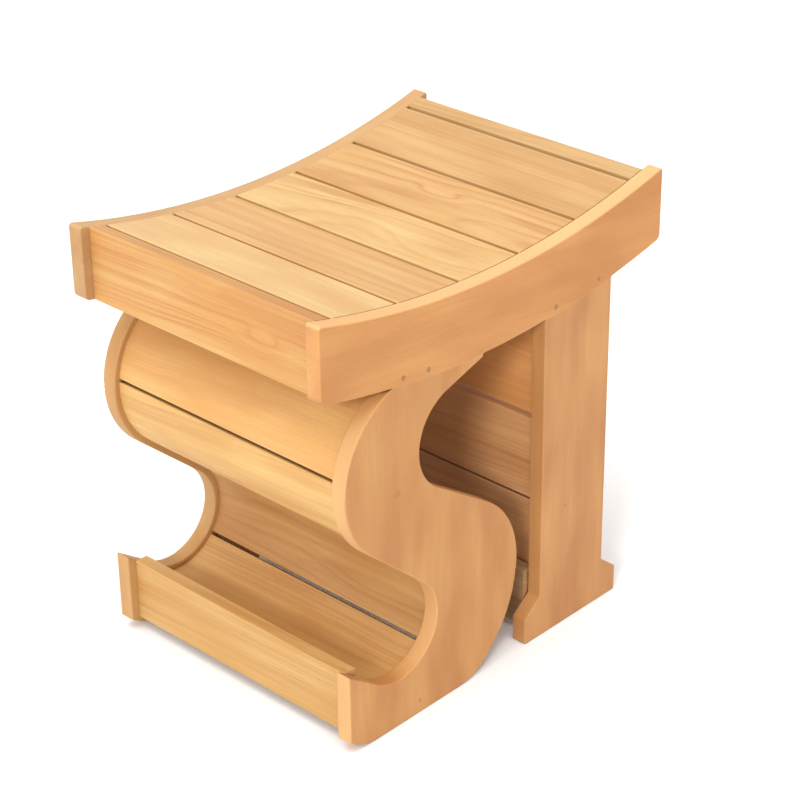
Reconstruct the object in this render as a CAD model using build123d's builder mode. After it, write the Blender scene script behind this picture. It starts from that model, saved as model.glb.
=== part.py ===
from build123d import *
import os
from math import atan2, cos, degrees, radians, sin, sqrt

# Teak shower stool with a dished slatted seat, an S-shaped slatted front and a slatted rear leg
# frame. X runs along the seat slats, Y from the front to the back, Z up. The origin is at the
# middle of the base on the floor. All lengths are in millimetres.

# Overall size
width = 328.0
depth = 472.0
height = 459.0

# Side boards: seat rails, S-panels and rear legs
board = 17.0
edge_ease = 1.5
outer_x = width / 2
inner_x = outer_x - board
inner_width = 2 * inner_x

# Dished seat
seat_dip = 31.3
seat_radius = ((depth / 2) ** 2 + seat_dip**2) / (2 * seat_dip)
seat_centre_z = height - seat_dip + seat_radius
rail_depth = 73.0
rail_top_corner = 3.0
rail_bottom_corner = 7.0
slat_count = 5
slat_pitch = 82.0
slat_gap = 4.3
slat_thickness = 16.0
slat_ease = 1.2

# End boards of the seat
apron_thickness = 18.0
apron_inner_y = slat_count * slat_pitch / 2 + slat_gap / 2
apron_bottom_z = 381.0

# Battens that carry the seat slats
cleat_depth = 20.0
cleat_width = 18.0
cleat_half_length = 204.0

# S-panels, front outline from the rail down to the tip of the foot
s_front_start_y = -147.0
s_front_heading = 199.5
s_bulge_radius = 94.5
s_bulge_sweep = 119.5
s_straight = 92.5
s_niche_radius = 52.5
s_niche_sweep = 174.0
s_tip_straight = 46.0

# S-panels, rear outline from the rail down to the heel
s_rear_start_y = -25.5
s_rear_blunt = 3.0
s_rear_heading = 197.5
s_rear_top_straight = 52.0
s_rear_hollow_radius = 53.5
s_rear_hollow_sweep = 129.0
s_rear_straight = 85.5
s_belly_radius = 97.5
s_belly_sweep = 59.0
s_heel_radius = 131.0
s_heel_sweep = 45.5
s_heel_floor_y = -57.0
s_toe_height = 14.0
s_toe_floor_y = -172.0

# Curved boards between the S-panels
s_recess = 6.0
s_slat_thickness = 14.0
s_slat_count = 5
s_slat_pitch = 91.0
s_slat_gap = 3.4

# Board across the front feet
foot_recess = 10.0
foot_board_thickness = 15.0
foot_board_bottom_z = 13.0
foot_board_top_z = 80.0

# Rear legs
leg_centre_y = 112.2
leg_width = 98.0
leg_foot_spread = 22.5
leg_flare_top_z = 46.0
leg_flare_bottom_z = 28.5
leg_corner = 3.0

# Boards between the rear legs
back_recess = 10.0
back_slat_thickness = 15.0
back_slat_heights = ((62.0, 146.0), (148.5, 238.2), (244.0, 344.0))
rear_foot_board_y = 57.0
rear_foot_board_bottom_z = 7.0
rear_foot_board_top_z = 73.0

# Pinned tenons between the rails and the boards below them
tenon_thickness = 7.0
tenon_height = 22.0
tenon_x = inner_x + board / 2 - tenon_thickness / 2
s_tenon_span = (-142.0, -88.0)
leg_tenon_span = (69.0, 151.0)
pin_radius = 3.0
pin_length = 14.0
pin_rise = 7.5
pin_ys = (-133.0, -100.0, 77.5, 141.5)

sides = ((-1, "left"), (1, "right"))
os.makedirs("parts", exist_ok=True)


def seat_z(y, drop=0.0):
    """Height of the dished seat surface at y, or of the surface a given depth below it."""
    return seat_centre_z - sqrt((seat_radius + drop) ** 2 - y**2)


def side_plane(side):
    """Plane of the left or right side boards whose thickness then runs along +X."""
    return Plane.YZ.offset(inner_x if side > 0 else -outer_x)


def dished_bar(start_y, end_y, top_drop, bottom_drop):
    """Outline in Y and Z of a bar between two arcs that follow the seat."""
    middle_y = (start_y + end_y) / 2
    with BuildSketch() as bar:
        with BuildLine():
            top = ThreePointArc(
                (start_y, seat_z(start_y, top_drop)),
                (middle_y, seat_z(middle_y, top_drop)),
                (end_y, seat_z(end_y, top_drop)),
            )
            bottom = ThreePointArc(
                (start_y, seat_z(start_y, bottom_drop)),
                (middle_y, seat_z(middle_y, bottom_drop)),
                (end_y, seat_z(end_y, bottom_drop)),
            )
            Line(top @ 0, bottom @ 0)
            Line(top @ 1, bottom @ 1)
        make_face()
    return bar.sketch


def s_front_line(inset):
    """Front outline of the S, moved into the wood by inset, from the rail down to the foot."""
    heading = radians(s_front_heading)
    forward = Vector(cos(heading), sin(heading))
    inward = Vector(-sin(heading), cos(heading))
    start = Vector(s_front_start_y, seat_z(s_front_start_y, rail_depth)) + inward * inset
    with BuildLine() as line:
        bulge = JernArc(start, forward, s_bulge_radius - inset, s_bulge_sweep)
        slope = Line(bulge @ 1, bulge @ 1 + bulge % 1 * s_straight)
        niche = JernArc(slope @ 1, slope % 1, s_niche_radius + inset, -s_niche_sweep)
        Line(niche @ 1, niche @ 1 + niche % 1 * s_tip_straight)
    return line.line


def s_rear_line():
    """Rear outline of the S from below the rail down to the floor."""
    heading = radians(s_rear_heading)
    start = Vector(s_rear_start_y, seat_z(s_rear_start_y, rail_depth) - s_rear_blunt)
    forward = Vector(cos(heading), sin(heading))
    with BuildLine() as line:
        top = Line(start, start + forward * s_rear_top_straight)
        hollow = JernArc(top @ 1, top % 1, s_rear_hollow_radius, s_rear_hollow_sweep)
        slope = Line(hollow @ 1, hollow @ 1 + hollow % 1 * s_rear_straight)
        belly = JernArc(slope @ 1, slope % 1, s_belly_radius, -s_belly_sweep)
        heel = JernArc(belly @ 1, belly % 1, s_heel_radius, -s_heel_sweep)
        TangentArc(heel @ 1, (s_heel_floor_y, 0), tangent=heel % 1)
    return line.line


def s_outline():
    """Closed outline of an S-panel."""
    front = s_front_line(0)
    rear = s_rear_line()
    tip = front @ 1
    rail_front = front @ 0
    rail_rear = Vector(s_rear_start_y, seat_z(s_rear_start_y, rail_depth))
    rail_middle_y = (s_front_start_y + s_rear_start_y) / 2
    with BuildSketch() as outline:
        with BuildLine():
            add(front)
            add(rear)
            toe = Line(tip, (tip.X, s_toe_height))
            sole = Line((s_toe_floor_y, 0), rear @ 1)
            TangentArc(sole @ 0, toe @ 1, tangent=(-1, 0))
            Line(rear @ 0, rail_rear)
            ThreePointArc(rail_rear, (rail_middle_y, seat_z(rail_middle_y, rail_depth)), rail_front)
        make_face()
    return outline.sketch


def leg_outline():
    """Closed outline of a rear leg with its flared foot."""
    front_y = leg_centre_y - leg_width / 2
    rear_y = leg_centre_y + leg_width / 2
    foot_front_y = front_y - leg_foot_spread
    foot_rear_y = rear_y + leg_foot_spread
    with BuildSketch() as outline:
        with BuildLine():
            Polyline(
                (front_y, seat_z(front_y, rail_depth)),
                (front_y, leg_flare_top_z),
                (foot_front_y, leg_flare_bottom_z),
                (foot_front_y, 0),
                (foot_rear_y, 0),
                (foot_rear_y, leg_flare_bottom_z),
                (rear_y, leg_flare_top_z),
                (rear_y, seat_z(rear_y, rail_depth)),
            )
            ThreePointArc(
                (rear_y, seat_z(rear_y, rail_depth)),
                (leg_centre_y, seat_z(leg_centre_y, rail_depth)),
                (front_y, seat_z(front_y, rail_depth)),
            )
        make_face()
        foot_corners = outline.vertices().filter_by_position(Axis.Y, 0, leg_flare_top_z)
        fillet(foot_corners, leg_corner)
    return outline.sketch


def tenon_faces():
    """Outlines of the two tenons that rise into a rail."""
    s_tenon = dished_bar(*s_tenon_span, rail_depth - tenon_height, rail_depth)
    leg_tenon = dished_bar(*leg_tenon_span, rail_depth - tenon_height, rail_depth)
    return s_tenon, leg_tenon


def pin_plane(side, y):
    """Plane on the outer face of a rail at a pin, facing inwards."""
    origin = (side * outer_x, y, seat_z(y, rail_depth) + pin_rise)
    return Plane(origin=origin, x_dir=(0, 1, 0), z_dir=(-side, 0, 0))


s_tenon_face, leg_tenon_face = tenon_faces()
s_face = s_outline()
leg_face = leg_outline()
foot_front_y = (s_front_line(0) @ 1).X
leg_front_y = leg_centre_y - leg_width / 2
leg_rear_y = leg_centre_y + leg_width / 2

# Seat rails, mortised from below and drilled for the pins
rail_outline = dished_bar(-depth / 2, depth / 2, 0, rail_depth)
joint_spans = ((s_front_start_y, s_rear_start_y), (leg_front_y, leg_rear_y))
for side, side_name in sides:
    tenon_plane = Plane.YZ.offset(side * (inner_x + board / 2) - tenon_thickness / 2)
    with BuildPart() as rail:
        with BuildSketch(side_plane(side)) as rail_sketch:
            add(rail_outline)
            fillet(rail_sketch.vertices().group_by(Axis.Y)[-1], rail_top_corner)
            fillet(rail_sketch.vertices().group_by(Axis.Y)[0], rail_bottom_corner)
        extrude(amount=board)
        fillet(rail.faces().filter_by(Axis.X).edges(), edge_ease)
        with BuildSketch(side_plane(side)):
            for span in joint_spans:
                add(dished_bar(*span, rail_depth - 2 * edge_ease, rail_depth))
        extrude(amount=board)
        with BuildSketch(tenon_plane):
            add(s_tenon_face)
            add(leg_tenon_face)
        extrude(amount=tenon_thickness, mode=Mode.SUBTRACT)
        for y in pin_ys:
            with BuildSketch(pin_plane(side, y)):
                Circle(pin_radius)
            extrude(amount=pin_length, mode=Mode.SUBTRACT)
    rail.part.label = f"seat_rail_{side_name}"
    export_step(rail.part, f"parts/seat_rail_{side_name}.step")

# Front and rear end boards of the seat
for end, end_name in ((-1, "front"), (1, "rear")):
    near_y = end * apron_inner_y
    far_y = end * (apron_inner_y + apron_thickness)
    with BuildPart() as apron:
        with BuildSketch(Plane.YZ.offset(-inner_x)):
            with BuildLine():
                crown = Line((near_y, seat_z(near_y)), (far_y, seat_z(far_y)))
                Polyline(crown @ 1, (far_y, apron_bottom_z), (near_y, apron_bottom_z), crown @ 0)
            make_face()
        extrude(amount=inner_width)
        fillet(apron.edges().filter_by(Axis.X), slat_ease)
    apron.part.label = f"apron_{end_name}"
    export_step(apron.part, f"parts/apron_{end_name}.step")

# Seat slats, numbered from the front
for number in range(1, slat_count + 1):
    middle_y = (number - (slat_count + 1) / 2) * slat_pitch
    half_slat = (slat_pitch - slat_gap) / 2
    slat_face = dished_bar(middle_y - half_slat, middle_y + half_slat, 0, slat_thickness)
    with BuildPart() as seat_slat:
        with BuildSketch(Plane.YZ.offset(-inner_x)):
            add(slat_face)
        extrude(amount=inner_width)
        fillet(seat_slat.edges().filter_by(Axis.X), slat_ease)
    seat_slat.part.label = f"seat_slat_{number}"
    export_step(seat_slat.part, f"parts/seat_slat_{number}.step")

# Battens under the seat slats, against the inner faces of the rails
cleat_face = dished_bar(
    -cleat_half_length, cleat_half_length, slat_thickness, slat_thickness + cleat_depth
)
for side, side_name in sides:
    with BuildPart() as cleat:
        with BuildSketch(Plane.YZ.offset(inner_x - cleat_width if side > 0 else -inner_x)):
            add(cleat_face)
        extrude(amount=cleat_width)
    cleat.part.label = f"seat_cleat_{side_name}"
    export_step(cleat.part, f"parts/seat_cleat_{side_name}.step")

# S-panels with their tenons
for side, side_name in sides:
    tenon_plane = Plane.YZ.offset(side * (inner_x + board / 2) - tenon_thickness / 2)
    with BuildPart() as s_panel:
        with BuildSketch(side_plane(side)):
            add(s_face)
        extrude(amount=board)
        outline_edges = s_panel.faces().filter_by(Axis.X).edges()
        joint_edges = outline_edges.sort_by(lambda edge: edge.center().Z)[-2:]
        fillet(outline_edges - joint_edges, edge_ease)
        with BuildSketch(tenon_plane):
            add(s_tenon_face)
        extrude(amount=tenon_thickness)
        for y in pin_ys[:2]:
            with BuildSketch(pin_plane(side, y)):
                Circle(pin_radius)
            extrude(amount=pin_length, mode=Mode.SUBTRACT)
    s_panel.part.label = f"s_panel_{side_name}"
    export_step(s_panel.part, f"parts/s_panel_{side_name}.step")

# Curved boards between the S-panels, cut from one band by narrow gaps
s_band_face_line = s_front_line(s_recess)
s_band_back_line = s_front_line(s_recess + s_slat_thickness)
s_path = Wire(s_front_line(s_recess + s_slat_thickness / 2).edges())
foot_board_back_y = foot_front_y + foot_recess + foot_board_thickness
with BuildPart() as s_band:
    with BuildSketch(Plane.YZ.offset(-inner_x)):
        with BuildLine():
            add(s_band_face_line)
            add(s_band_back_line)
            Line(s_band_face_line @ 0, s_band_back_line @ 0)
            Line(s_band_face_line @ 1, s_band_back_line @ 1)
        make_face()
        for gap in range(1, s_slat_count):
            station = s_path.location_at(gap * s_slat_pitch, position_mode=PositionMode.LENGTH)
            heading = s_path.tangent_at(gap * s_slat_pitch, position_mode=PositionMode.LENGTH)
            with Locations(Location(station.position, degrees(atan2(heading.Y, heading.X)))):
                Rectangle(s_slat_gap, 2 * s_slat_thickness, mode=Mode.SUBTRACT)
        with Locations((foot_board_back_y, 0)):
            Rectangle(width, 2 * s_bulge_radius, align=(Align.MAX, Align.CENTER), mode=Mode.SUBTRACT)
    extrude(amount=inner_width)
    fillet(s_band.edges().filter_by(Axis.X), slat_ease)
for number in range(1, s_slat_count + 1):
    middle = s_path.position_at((number - 0.5) * s_slat_pitch, position_mode=PositionMode.LENGTH)
    s_slat = s_band.part.solids().sort_by_distance((0, middle.X, middle.Y))[0]
    s_slat.label = f"s_slat_{number}"
    export_step(s_slat, f"parts/s_slat_{number}.step")

# Board across the front feet
with BuildPart() as foot_board:
    with Locations((0, foot_front_y + foot_recess, foot_board_bottom_z)):
        Box(
            inner_width,
            foot_board_thickness,
            foot_board_top_z - foot_board_bottom_z,
            align=(Align.CENTER, Align.MIN, Align.MIN),
        )
    fillet(foot_board.edges().filter_by(Axis.X), slat_ease)
foot_board.part.label = "foot_board_front"
export_step(foot_board.part, "parts/foot_board_front.step")

# Rear legs with their tenons
for side, side_name in sides:
    tenon_plane = Plane.YZ.offset(side * (inner_x + board / 2) - tenon_thickness / 2)
    with BuildPart() as leg:
        with BuildSketch(side_plane(side)):
            add(leg_face)
        extrude(amount=board)
        outline_edges = leg.faces().filter_by(Axis.X).edges()
        joint_edges = outline_edges.sort_by(lambda edge: edge.center().Z)[-2:]
        fillet(outline_edges - joint_edges, edge_ease)
        with BuildSketch(tenon_plane):
            add(leg_tenon_face)
        extrude(amount=tenon_thickness)
        for y in pin_ys[2:]:
            with BuildSketch(pin_plane(side, y)):
                Circle(pin_radius)
            extrude(amount=pin_length, mode=Mode.SUBTRACT)
    leg.part.label = f"rear_leg_{side_name}"
    export_step(leg.part, f"parts/rear_leg_{side_name}.step")

# Boards between the rear legs, numbered from the bottom
for number, (bottom_z, top_z) in enumerate(back_slat_heights, start=1):
    with BuildPart() as back_slat:
        with Locations((0, leg_front_y + back_recess, bottom_z)):
            Box(
                inner_width,
                back_slat_thickness,
                top_z - bottom_z,
                align=(Align.CENTER, Align.MIN, Align.MIN),
            )
        fillet(back_slat.edges().filter_by(Axis.X), slat_ease)
    back_slat.part.label = f"back_slat_{number}"
    export_step(back_slat.part, f"parts/back_slat_{number}.step")

# Board across the fronts of the rear feet
with BuildPart() as rear_foot_board:
    with Locations((0, rear_foot_board_y, rear_foot_board_bottom_z)):
        Box(
            inner_width,
            back_slat_thickness,
            rear_foot_board_top_z - rear_foot_board_bottom_z,
            align=(Align.CENTER, Align.MIN, Align.MIN),
        )
    fillet(rear_foot_board.edges().filter_by(Axis.X), slat_ease)
rear_foot_board.part.label = "foot_board_rear"
export_step(rear_foot_board.part, "parts/foot_board_rear.step")

# Pins through the tenons, flush with the outer faces of the rails
for side, side_name in sides:
    with BuildPart() as pins:
        for y in pin_ys:
            with BuildSketch(pin_plane(side, y)):
                Circle(pin_radius)
            extrude(amount=pin_length)
    pins.part.label = f"joint_pins_{side_name}"
    export_step(pins.part, f"parts/joint_pins_{side_name}.step")
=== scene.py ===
from math import pi, radians

import bpy
from mathutils import Matrix, Vector


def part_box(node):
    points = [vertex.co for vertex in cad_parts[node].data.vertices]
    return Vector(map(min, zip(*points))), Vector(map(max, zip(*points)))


# A shower stool of oiled teak: a dipped seat of five slats between two rails, on a pair of
# S-shaped side panels closed in front by curved slats, and two rear legs joined by slats.
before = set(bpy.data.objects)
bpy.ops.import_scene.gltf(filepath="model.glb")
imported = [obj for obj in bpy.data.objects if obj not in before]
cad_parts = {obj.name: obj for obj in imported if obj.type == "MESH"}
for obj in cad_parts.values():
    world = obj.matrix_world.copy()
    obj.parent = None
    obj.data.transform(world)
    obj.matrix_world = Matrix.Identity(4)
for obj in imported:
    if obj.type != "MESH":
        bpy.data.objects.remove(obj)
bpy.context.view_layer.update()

MM = 1000.0                      # millimetres in a metre: every grain size below is in mm
SIDE_A, SIDE_B, MIXED = 6, 7, 2  # the colour sockets of a Mix node

# ---------------------------------------------------------------- small helpers


def linear(hex_code):
    """A screen colour such as "#e3a163" as the linear colour a shader wants."""
    channels = [int(hex_code[i:i + 2], 16) / 255 for i in (1, 3, 5)]
    return [c / 12.92 if c <= 0.04045 else ((c + 0.055) / 1.055) ** 2.4 for c in channels] + [1.0]


def add(tree, kind, sockets=None, ramp=None, **settings):
    """One node, with its settings, and each socket given a number, a colour or a link."""
    node = tree.nodes.new(kind)
    for name, value in settings.items():
        setattr(node, name, value)
    for socket, value in (sockets or {}).items():
        if isinstance(value, bpy.types.NodeSocket):
            tree.links.new(value, node.inputs[socket])
        else:
            node.inputs[socket].default_value = value
    if ramp:
        stops = node.color_ramp.elements
        while len(stops) < len(ramp):
            stops.new(0.5)
        for stop, (place, value) in zip(stops, ramp):
            stop.position = place
            stop.color = linear(value) if isinstance(value, str) else (value, value, value, 1)
    return node


# ---------------------------------------------------------------- teak

# Turns that lay a board's length along the log's length, which is X in the grain pattern.
LENGTHWAYS = {
    "X": Matrix.Identity(3),
    "Y": Matrix.Rotation(-pi / 2, 3, "Z"),
    "Z": Matrix.Rotation(pi / 2, 3, "Y"),
}

# Colours that every board shares.
# The next colour is the paler teak painted on faces turned to the lamps, as painted light.
LIT_TEAK = "#f2c68c"
# The next colour is painted shade, laid into gaps and joints.
GAP_SHADE = "#55331c"
OIL_IN_PORES = "#8a5a34"
KNOT_BROWN = "#6d4022"

# How far apart each pattern repeats across the grain, in mm. Real fibres and pores are a few
# tenths of a mm wide: both are drawn coarser here, so that they show.
SWAY_WIDTH = 60.0
FADE_WIDTH = 45.0
DRIFT_WIDTH = 38.0
STREAK_WIDTH = 9.0
FIBRE_WIDTH = 1.4
PORE_WIDTH = 0.8

# How far each pattern is squeezed along the grain: 0.012 draws it some 80 times as long as wide.
SLOW_SQUEEZE = 0.3
STREAK_SQUEEZE = 0.012
PORE_SQUEEZE = 0.07

# Where each pattern starts to show and where it is full, on its noise's scale of 0 to 1.
RINGS_SHOW = (0.35, 0.65)
STREAKS_SHOW = (0.36, 0.68)
FIBRES_SHOW = (0.3, 0.72)
PORES_SHOW = (0.63, 0.76)
DRIFT_SHOWS = (0.34, 0.66)

# A year's growth from its start to its end: it deepens slowly to a thin dark line.
YEAR_SHADES = [(0.0, 0.6), (0.12, 0.15), (0.4, 0.1), (0.74, 0.45), (0.92, 1.0), (1.0, 0.6)]
SEASON_CHANGE = 0.45      # how fast good and bad seasons follow each other, per ring
SEASON_SWING = 2.2        # how far they move the rings, in rings
FAINT_RINGS = 0.3         # the share of their strength that rings keep where they are faint
PORE_SHARE = 0.16         # how strongly the pores' colour shows
HEART_CORE = 0.82         # the share of a heartwood patch that is at full strength
KNOT_CORE = 0.2           # the same for a knot

# Painted highlights on edges, painted shade in gaps and joints, and sheen. Lengths are in metres.
EDGE_REACH = 0.0025       # how far round an edge the painted highlight reaches
EDGE_TURN = (0.995, 0.85)  # cosine of an edge's turn where it starts to pale and where it is palest
# How strongly rounded edges are painted paler, as a painted highlight.
EDGE_HIGHLIGHT = 0.4
GAP_REACH = 0.006         # how far out of a gap its painted shade reaches
GAP_AIR = (0.58, 0.22)    # how open the air is where the painted shade starts and where it is darkest
GAP_DARKNESS = 0.9
ROUGH_PALE_WOOD, ROUGH_DARK_LINES, ROUGHER_IN_PORES = 0.6, 0.48, 0.15
PORE_DEPTH = -0.7         # against the height of the fibres, which is 1
RELIEF_STRENGTH, RELIEF_HEIGHT = 0.2, 0.0003


def sanded_teak(node_name, length, pith, tones, lean=2.0, ring=5.0, rings=0.45, streaks=0.4,
                fibres=0.22, sway=7.0, swirls=(), knots=(), hearts=(),
                painted_light_towards=(0, 0, 0)):
    """Plantation teak, planed, sanded and given one thin coat of oil.

    It gives the eye a warm honey board with a soft sheen, its figure long and quiet. The rings
    are cut through a log as a saw cuts them, so a face shows arches or straight lines by where
    its pith lies, and the ends show the same rings.

    length is the axis that the grain runs along, pith how far the board's middle is from the
    middle of the log (along, across and deep, mm), lean how far the log leans out of the board
    (degrees), ring the width of a year's growth (mm), tones the pale, middle and deep colours,
    rings, streaks and fibres how dark each is drawn (0 to 1), sway how far the fibres wander (mm).

    swirls are (spot, spread, push), and push is how far the rings move out there. knots are
    (spot, size, share), and hearts, which are patches of heartwood, (spot, spread, share). Spots
    are points of the object. They, the spreads, the sizes and the pushes are in mm.

    painted_light_towards points where the faces lie that get painted light, and is as long as that
    light is strong: those faces, turned to the lamps, are painted paler."""
    low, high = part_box(node_name)
    middle = (low + high) / 2 * MM
    mat = bpy.data.materials.new("sanded_oiled_teak." + node_name)
    mat.use_nodes = True
    tree = mat.node_tree
    tree.nodes.clear()
    pale, mid, deep = tones

    # Place in the log, in mm, with X along the grain.
    saw = Matrix.Rotation(radians(lean), 3, "Y") @ LENGTHWAYS[length]
    coords = add(tree, "ShaderNodeTexCoord")
    log = add(tree, "ShaderNodeMapping", {
        "Vector": coords.outputs["Object"], "Scale": (MM, MM, MM),
        "Rotation": saw.to_euler(), "Location": Vector(pith) - saw @ middle})

    # The fibres wander sideways by a few mm over a hand's breadth.
    along = add(tree, "ShaderNodeVectorMath", {0: log.outputs[0], 1: (SLOW_SQUEEZE, 1, 1)},
                operation="MULTIPLY")
    wander = add(tree, "ShaderNodeTexNoise", {
        "Vector": along.outputs[0], "Scale": 1 / SWAY_WIDTH, "Detail": 1.5, "Roughness": 0.4})
    swayed = add(tree, "ShaderNodeVectorMath", {
        0: wander.outputs["Color"], 1: (0, 2 * sway, 2 * sway), 2: log.outputs[0]},
        operation="MULTIPLY_ADD")

    # A patch round a point of the object: peak at its core, fading to 0 at the given spread.
    def nearness(spot, spread, peak, core=0.0, smooth="SMOOTHERSTEP"):
        away = add(tree, "ShaderNodeVectorMath", {
            0: coords.outputs["Object"], 1: Vector(spot) / MM}, operation="SUBTRACT")
        squeezed = add(tree, "ShaderNodeVectorMath", {
            0: away.outputs[0], 1: [MM / s for s in spread]}, operation="MULTIPLY")
        reach = add(tree, "ShaderNodeVectorMath", {0: squeezed.outputs[0]}, operation="LENGTH")
        return add(tree, "ShaderNodeMapRange", {
            "Value": reach.outputs["Value"], "From Min": core, "From Max": 1.0,
            "To Min": peak, "To Max": 0.0}, interpolation_type=smooth).outputs[0]

    # Distance from the pith, pushed out in an eye wherever a branch began.
    across = add(tree, "ShaderNodeVectorMath", {0: swayed.outputs[0], 1: (0, 1, 1)},
                 operation="MULTIPLY")
    radius = add(tree, "ShaderNodeVectorMath", {0: across.outputs[0]}, operation="LENGTH")
    radius = radius.outputs["Value"]
    for spot, spread, push in swirls:
        radius = add(tree, "ShaderNodeMath", {0: radius, 1: nearness(spot, spread, push)},
                     operation="ADD").outputs[0]

    # Year rings of unequal widths, strong in one place and faint in another.
    years = add(tree, "ShaderNodeMath", {0: radius, 1: ring}, operation="DIVIDE")
    seasons = add(tree, "ShaderNodeTexNoise", {
        "W": years.outputs[0], "Scale": SEASON_CHANGE, "Detail": 1.0}, noise_dimensions="1D")
    uneven = add(tree, "ShaderNodeMath", {
        0: seasons.outputs[0], 1: SEASON_SWING, 2: years.outputs[0]}, operation="MULTIPLY_ADD")
    year = add(tree, "ShaderNodeMath", {0: uneven.outputs[0]}, operation="FRACT")
    growth = add(tree, "ShaderNodeValToRGB", {"Fac": year.outputs[0]}, ramp=YEAR_SHADES)
    growth.color_ramp.interpolation = "EASE"
    strong = add(tree, "ShaderNodeTexNoise", {
        "Vector": along.outputs[0], "Scale": 1 / FADE_WIDTH, "Detail": 1.0})
    fading = add(tree, "ShaderNodeMapRange", {
        "Value": strong.outputs[0], "From Min": RINGS_SHOW[0], "From Max": RINGS_SHOW[1],
        "To Min": FAINT_RINGS * rings, "To Max": rings})
    ring_dark = add(tree, "ShaderNodeMath", {0: growth.outputs[0], 1: fading.outputs[0]},
                    operation="MULTIPLY")

    # Streaks a few mm wide and far longer than a hand, and fine fibres between them.
    long_way = add(tree, "ShaderNodeVectorMath", {0: swayed.outputs[0], 1: (STREAK_SQUEEZE, 1, 1)},
                   operation="MULTIPLY")
    streak = add(tree, "ShaderNodeTexNoise", {
        "Vector": long_way.outputs[0], "Scale": 1 / STREAK_WIDTH, "Detail": 3.0,
        "Roughness": 0.55})
    fibre = add(tree, "ShaderNodeTexNoise", {
        "Vector": long_way.outputs[0], "Scale": 1 / FIBRE_WIDTH, "Detail": 2.0,
        "Roughness": 0.6})
    streak_dark = add(tree, "ShaderNodeMapRange", {
        "Value": streak.outputs[0], "From Min": STREAKS_SHOW[0], "From Max": STREAKS_SHOW[1],
        "To Min": 0.0, "To Max": streaks})
    fibre_dark = add(tree, "ShaderNodeMapRange", {
        "Value": fibre.outputs[0], "From Min": FIBRES_SHOW[0], "From Max": FIBRES_SHOW[1],
        "To Min": 0.0, "To Max": fibres})
    dark = add(tree, "ShaderNodeMath", {0: ring_dark.outputs[0], 1: streak_dark.outputs[0]},
               operation="ADD")
    dark = add(tree, "ShaderNodeMath", {0: dark.outputs[0], 1: fibre_dark.outputs[0]},
               operation="ADD", use_clamp=True)

    # Open pores, as short dashes along the grain.
    dashes = add(tree, "ShaderNodeVectorMath", {0: swayed.outputs[0], 1: (PORE_SQUEEZE, 1, 1)},
                 operation="MULTIPLY")
    pore = add(tree, "ShaderNodeTexNoise", {
        "Vector": dashes.outputs[0], "Scale": 1 / PORE_WIDTH, "Detail": 1.0})
    pores = add(tree, "ShaderNodeMapRange", {
        "Value": pore.outputs[0], "From Min": PORES_SHOW[0], "From Max": PORES_SHOW[1],
        "To Min": 0.0, "To Max": 1.0}, interpolation_type="SMOOTHSTEP")

    # Colour drifts over the board between the pale and the middle tone.
    drift = add(tree, "ShaderNodeTexNoise", {
        "Vector": along.outputs[0], "Scale": 1 / DRIFT_WIDTH, "Detail": 1.5})
    drift_share = add(tree, "ShaderNodeMapRange", {
        "Value": drift.outputs[0], "From Min": DRIFT_SHOWS[0], "From Max": DRIFT_SHOWS[1]})
    ground = add(tree, "ShaderNodeMix", {
        0: drift_share.outputs[0], SIDE_A: linear(mid), SIDE_B: linear(pale)}, data_type="RGBA")
    grained = add(tree, "ShaderNodeMix", {
        0: dark.outputs[0], SIDE_A: ground.outputs[MIXED], SIDE_B: linear(deep)},
        data_type="RGBA")
    pore_share = add(tree, "ShaderNodeMath", {0: pores.outputs[0], 1: PORE_SHARE},
                     operation="MULTIPLY")
    colour = add(tree, "ShaderNodeMix", {
        0: pore_share.outputs[0], SIDE_A: grained.outputs[MIXED],
        SIDE_B: linear(OIL_IN_PORES)}, data_type="RGBA").outputs[MIXED]

    # Patches of darker heartwood, and small tight knots with a soft brown halo.
    for spot, spread, share in hearts:
        colour = add(tree, "ShaderNodeMix", {
            0: nearness(spot, spread, share, core=HEART_CORE, smooth="SMOOTHSTEP"),
            SIDE_A: colour, SIDE_B: linear(deep)}, data_type="RGBA").outputs[MIXED]
    for spot, size, share in knots:
        colour = add(tree, "ShaderNodeMix", {
            0: nearness(spot, (size, size, size), share, core=KNOT_CORE),
            SIDE_A: colour, SIDE_B: linear(KNOT_BROWN)}, data_type="RGBA").outputs[MIXED]

    # Painted light: faces turned to the lamps are mixed towards a paler, lit teak, and every
    # rounded edge gets a painted highlight a touch paler than its faces.
    surface = add(tree, "ShaderNodeNewGeometry")
    # Painted highlight: the bevel finds the rounded edges, and they are mixed towards the pale
    # tone.
    rounded = add(tree, "ShaderNodeBevel", {"Radius": EDGE_REACH}, samples=4)
    turned = add(tree, "ShaderNodeVectorMath", {
        0: surface.outputs["Normal"], 1: rounded.outputs[0]}, operation="DOT_PRODUCT")
    edge = add(tree, "ShaderNodeMapRange", {
        "Value": turned.outputs["Value"], "From Min": EDGE_TURN[0], "From Max": EDGE_TURN[1],
        "To Min": 0.0, "To Max": EDGE_HIGHLIGHT})
    facing = add(tree, "ShaderNodeVectorMath", {
        0: surface.outputs["Normal"], 1: painted_light_towards}, operation="DOT_PRODUCT")
    lit_share = add(tree, "ShaderNodeMath", {0: facing.outputs["Value"], 1: 0.0},
                operation="MAXIMUM")
    painted_lit = add(tree, "ShaderNodeMix", {
        0: lit_share.outputs[0], SIDE_A: colour, SIDE_B: linear(LIT_TEAK)}, data_type="RGBA")
    edge_highlighted = add(tree, "ShaderNodeMix", {
        0: edge.outputs[0], SIDE_A: painted_lit.outputs[MIXED], SIDE_B: linear(pale)},
        data_type="RGBA")

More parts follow.
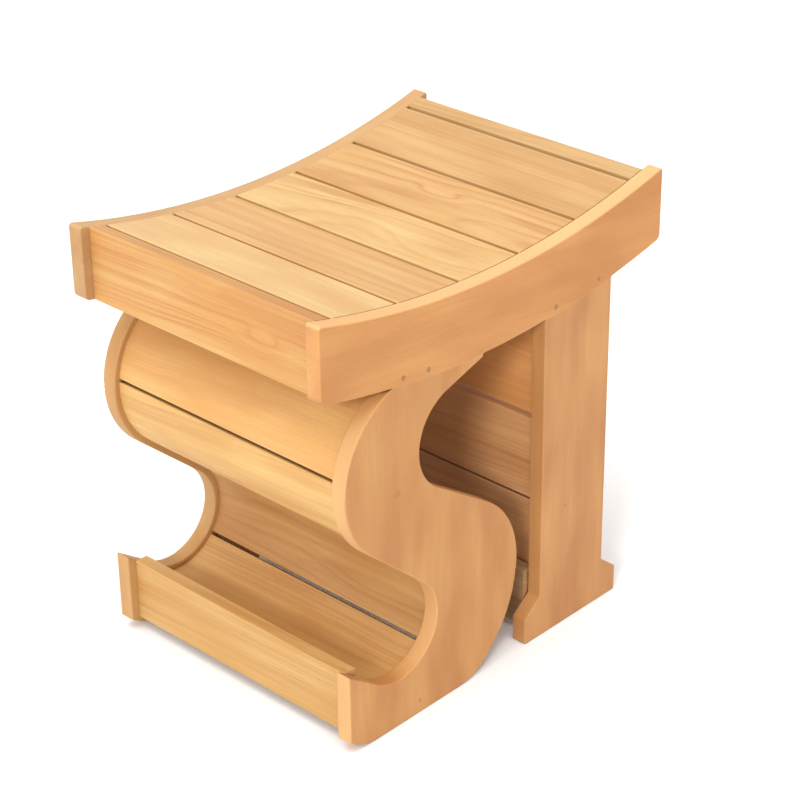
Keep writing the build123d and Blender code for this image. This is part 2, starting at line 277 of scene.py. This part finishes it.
    # Painted shade: gaps and joints, where little light reaches, are darkened towards a deep brown.
    open_air = add(tree, "ShaderNodeAmbientOcclusion", {"Distance": GAP_REACH}, samples=8)
    gap = add(tree, "ShaderNodeMapRange", {
        "Value": open_air.outputs["AO"], "From Min": GAP_AIR[0], "From Max": GAP_AIR[1],
        "To Min": 0.0, "To Max": GAP_DARKNESS})
    gap_shaded = add(tree, "ShaderNodeMix", {
        0: gap.outputs[0], SIDE_A: edge_highlighted.outputs[MIXED], SIDE_B: linear(GAP_SHADE)},
        data_type="RGBA")

    # Oil sinks into the open pores and dries duller there than on the hard dark lines.
    dull = add(tree, "ShaderNodeMapRange", {
        "Value": dark.outputs[0], "To Min": ROUGH_PALE_WOOD, "To Max": ROUGH_DARK_LINES})
    rough = add(tree, "ShaderNodeMath", {
        0: pores.outputs[0], 1: ROUGHER_IN_PORES, 2: dull.outputs[0]}, operation="MULTIPLY_ADD")

    # Sanding leaves the hard lines standing a few hundredths of a mm above the open pores.
    relief = add(tree, "ShaderNodeMath", {
        0: pores.outputs[0], 1: PORE_DEPTH, 2: fibre.outputs[0]}, operation="MULTIPLY_ADD")
    bump = add(tree, "ShaderNodeBump", {
        "Strength": RELIEF_STRENGTH, "Distance": RELIEF_HEIGHT, "Height": relief.outputs[0]})
    shader = add(tree, "ShaderNodeBsdfPrincipled", {
        "Base Color": gap_shaded.outputs[MIXED], "Roughness": rough.outputs[0],
        "Normal": bump.outputs[0], "IOR": 1.5, "Specular IOR Level": 0.4})
    add(tree, "ShaderNodeOutputMaterial", {"Surface": shader.outputs[0]})
    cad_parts[node_name].material_slots[0].material = mat


# How each board was cut from its log, and its pale, middle and deep tones.
# Where a board has painted light, its faces turned to the lamps are painted paler: the rails' tops
# and the right panel's front.
BOARDS = {
    "seat_rail_left": dict(
        length="Y", pith=(0, 160, 20), rings=0.25, streaks=0.22, fibres=0.14,
        painted_light_towards=(0, 0, 0.15), tones=("#bb9467", "#b28755", "#9f6e43")),
    "seat_rail_right": dict(
        length="Y", pith=(40, 60, 110), lean=-6, sway=8, ring=6, rings=0.22, streaks=0.18,
        fibres=0.14, painted_light_towards=(0, -0.1, 0.5), tones=("#ca9053", "#ba7d43", "#ac6e37")),
    "apron_front": dict(
        length="X", pith=(0, 120, 95), rings=0.75, ring=4.5, sway=8,
        swirls=[((84, -225, 411), (62, 60, 20), 10), ((108, -225, 402), (26, 60, 13), -7)],
        hearts=[((90, -214, 462), (240, 14, 14), 0.3), ((140, -225, 446), (125, 20, 17), 0.4)],
        tones=("#cea668", "#c99654", "#b77a40")),
    "apron_rear": dict(length="X", pith=(300, 10, 80), tones=("#c8a975", "#c19c65", "#ad7f4f")),
    "seat_slat_1": dict(
        length="X", pith=(0, 60, 110), lean=1.0, ring=8, rings=0.2, streaks=0.3,
        tones=("#dbba82", "#cda36c", "#c1925a")),
    "seat_slat_2": dict(
        length="X", pith=(100, 150, 40), lean=1.0, ring=3.6, rings=0.45, sway=3, streaks=0.5,
        tones=("#d3ac75", "#cb9d65", "#b8834d")),
    "seat_slat_3": dict(
        length="X", pith=(200, 25, 62), lean=5.0, ring=6, rings=0.95, sway=9, streaks=0.3,
        swirls=[((120, -14, 428), (150, 50, 60), 18)],
        tones=("#d8ba81", "#d1aa6f", "#bc8d54")),
    "seat_slat_4": dict(
        length="X", pith=(350, 15, 90), ring=6, rings=0.85, sway=8, streaks=0.3,
        swirls=[((9, 87, 430), (55, 17, 30), 6)],
        tones=("#d1a971", "#c99c61", "#b4814c")),
    "seat_slat_5": dict(
        length="X", pith=(500, 140, 30), lean=1.2, ring=4.2, sway=4, streaks=0.35,
        tones=("#cca570", "#bc905a", "#ac7c49")),
    "seat_cleat_left": dict(
        length="Y", pith=(10, 90, 20), tones=("#c18853", "#b67a44", "#9e6736")),
    "seat_cleat_right": dict(
        length="Y", pith=(210, 90, 20), tones=("#c18853", "#b67a44", "#9e6736")),
    "s_panel_left": dict(
        length="Z", pith=(20, 40, 150), rings=0.2, streaks=0.15, fibres=0.12,
        tones=("#c09660", "#b78751", "#9f703f")),
    "s_panel_right": dict(
        length="Z", pith=(320, 30, 95), lean=2.5, sway=9, ring=7, rings=0.16, streaks=0.16,
        fibres=0.12, painted_light_towards=(0, -0.32, 0),
        knots=[((164, -114.7, 14), 3.5, 0.35), ((164, -141.8, 256.3), 6, 0.2)],
        tones=("#c58f55", "#b47b45", "#a56b38")),
    "s_slat_1": dict(
        length="X", pith=(20, 20, 80), lean=2.5, rings=0.25, streaks=0.2, fibres=0.3,
        hearts=[((-90, -160, 352), (205, 120, 60), 0.35)],
        tones=("#dcad6c", "#d39e5b", "#be844a")),
    "s_slat_2": dict(
        length="X", pith=(420, 30, 90), lean=3.5, ring=7, sway=9, rings=0.35,
        tones=("#dbb370", "#c89b59", "#b9854a")),
    "s_slat_3": dict(length="X", pith=(620, 30, 70), tones=("#cba266", "#c29155", "#ac7943")),
    "s_slat_4": dict(length="X", pith=(820, 120, 30), tones=("#c89c64", "#bd8b54", "#a67441")),
    "s_slat_5": dict(length="X", pith=(1020, 30, 60), tones=("#cda469", "#c39357", "#ae7a44")),
    "foot_board_front": dict(
        length="X", pith=(40, 20, 90), tones=("#caa56a", "#c19656", "#ad7942")),
    "foot_board_rear": dict(
        length="X", pith=(340, 20, 90), tones=("#b18e67", "#a57c52", "#8b653e")),
    "rear_leg_left": dict(
        length="Z", pith=(30, 40, 120), rings=0.2, streaks=0.15, fibres=0.12,
        tones=("#bb915e", "#b1834f", "#9b6c3d")),
    "rear_leg_right": dict(
        length="Z", pith=(330, 50, 95), lean=2.0, ring=6, rings=0.2, streaks=0.18, fibres=0.14,
        sway=8, knots=[((164, 98.9, 138.6), 3, 0.35)],
        tones=("#c38e56", "#b27945", "#a36938")),
    "back_slat_1": dict(length="X", pith=(60, 20, 90), tones=("#dcaa76", "#cb9563", "#b07a4e")),
    "back_slat_2": dict(length="X", pith=(360, 20, 90), tones=("#dda872", "#d09761", "#b4794e")),
    "back_slat_3": dict(length="X", pith=(660, 120, 30), tones=("#e4a465", "#d69655", "#bb7943")),
}
for node_name, board in BOARDS.items():
    sanded_teak(node_name, **board)

# Round pegs show their end grain on the face of the stool, and it drinks more oil.
for node_name in ("joint_pins_left", "joint_pins_right"):
    sanded_teak(node_name, length="X", pith=(0, 30, 5), lean=0, ring=1.2, sway=1,
                tones=("#b88046", "#a5713b", "#7c4f28"))

# ---------------------------------------------------------------- floor

# Matte vinyl, rolled out as a studio floor. It gives the eye an even, nearly white ground with
# no shine and a hardly visible mottle, on which the stool's soft shadow shows.
FLOOR_SIZE = 60.0         # metres, so that its far edge lies out of sight
MOTTLE_SCALE = 3.0        # patches of about a third of a metre

bpy.ops.object.select_all(action="DESELECT")
bpy.ops.mesh.primitive_plane_add(size=FLOOR_SIZE)
floor = bpy.context.active_object
floor.name = "studio_floor"
vinyl = bpy.data.materials.new("matte_vinyl.studio_floor")
vinyl.use_nodes = True
tree = vinyl.node_tree
tree.nodes.clear()
place = add(tree, "ShaderNodeTexCoord")
mottle = add(tree, "ShaderNodeTexNoise", {
    "Vector": place.outputs["Object"], "Scale": MOTTLE_SCALE})
tint = add(tree, "ShaderNodeMix", {
    0: mottle.outputs[0], SIDE_A: linear("#f1f1f0"), SIDE_B: linear("#f4f4f4")},
    data_type="RGBA")
matte = add(tree, "ShaderNodeBsdfPrincipled", {
    "Base Color": tint.outputs[MIXED], "Roughness": 0.8, "Specular IOR Level": 0.2})
add(tree, "ShaderNodeOutputMaterial", {"Surface": matte.outputs[0]})
floor.data.materials.append(vinyl)

# ---------------------------------------------------------------- light

WALL_LIGHT = 0.85         # how brightly the white walls light the stool
WALL_SEEN = 1.1           # how bright the same walls look behind it

scene = bpy.context.scene
scene.view_settings.view_transform = "Standard"

world = bpy.data.worlds.new("white_studio")
scene.world = world
world.use_nodes = True
tree = world.node_tree
tree.nodes.clear()
seen = add(tree, "ShaderNodeLightPath")
level = add(tree, "ShaderNodeMapRange", {
    "Value": seen.outputs["Is Camera Ray"], "To Min": WALL_LIGHT, "To Max": WALL_SEEN})
sky = add(tree, "ShaderNodeBackground", {
    "Color": linear("#ffffff"), "Strength": level.outputs[0]})
add(tree, "ShaderNodeOutputWorld", {"Surface": sky.outputs[0]})

# Two soft lamps: one high overhead, one low and to the right of the front. Each is so far off
# that it lights the floor evenly. The numbers are its azimuth and height (degrees), how wide it
# looks from the stool (degrees) and its strength.
SOFTBOXES = (
    ("overhead_softbox", 10, 78, 50, 1.75),
    ("front_softbox", 27, 27, 12, 1.55),
)
for name, azimuth, height, width, strength in SOFTBOXES:
    softbox = bpy.data.lights.new(name, "SUN")
    softbox.energy = strength
    softbox.angle = radians(width)
    lamp = bpy.data.objects.new(name, softbox)
    scene.collection.objects.link(lamp)
    lamp.matrix_world = (Matrix.Rotation(radians(azimuth), 4, "Z")
                         @ Matrix.Rotation(pi / 2 - radians(height), 4, "X"))

# ---------------------------------------------------------------- camera

# The camera stands to the right of the front and looks down on the seat.
CAMERA_PLACE = (1.41927, -1.45645, 1.32705)
CAMERA_AZIMUTH, CAMERA_HEIGHT, CAMERA_ROLL = radians(43.588), radians(28.187), radians(-0.6698)
LENS_LENGTH, SENSOR_WIDTH = 104.64, 36.0

lens = bpy.data.cameras.new("studio_camera")
lens.sensor_width = SENSOR_WIDTH
lens.lens = LENS_LENGTH
camera = bpy.data.objects.new("studio_camera", lens)
scene.collection.objects.link(camera)
camera.matrix_world = (
    Matrix.Translation(CAMERA_PLACE)
    @ Matrix.Rotation(CAMERA_AZIMUTH, 4, "Z")
    @ Matrix.Rotation(pi / 2 - CAMERA_HEIGHT, 4, "X")
    @ Matrix.Rotation(CAMERA_ROLL, 4, "Z"))
scene.camera = camera
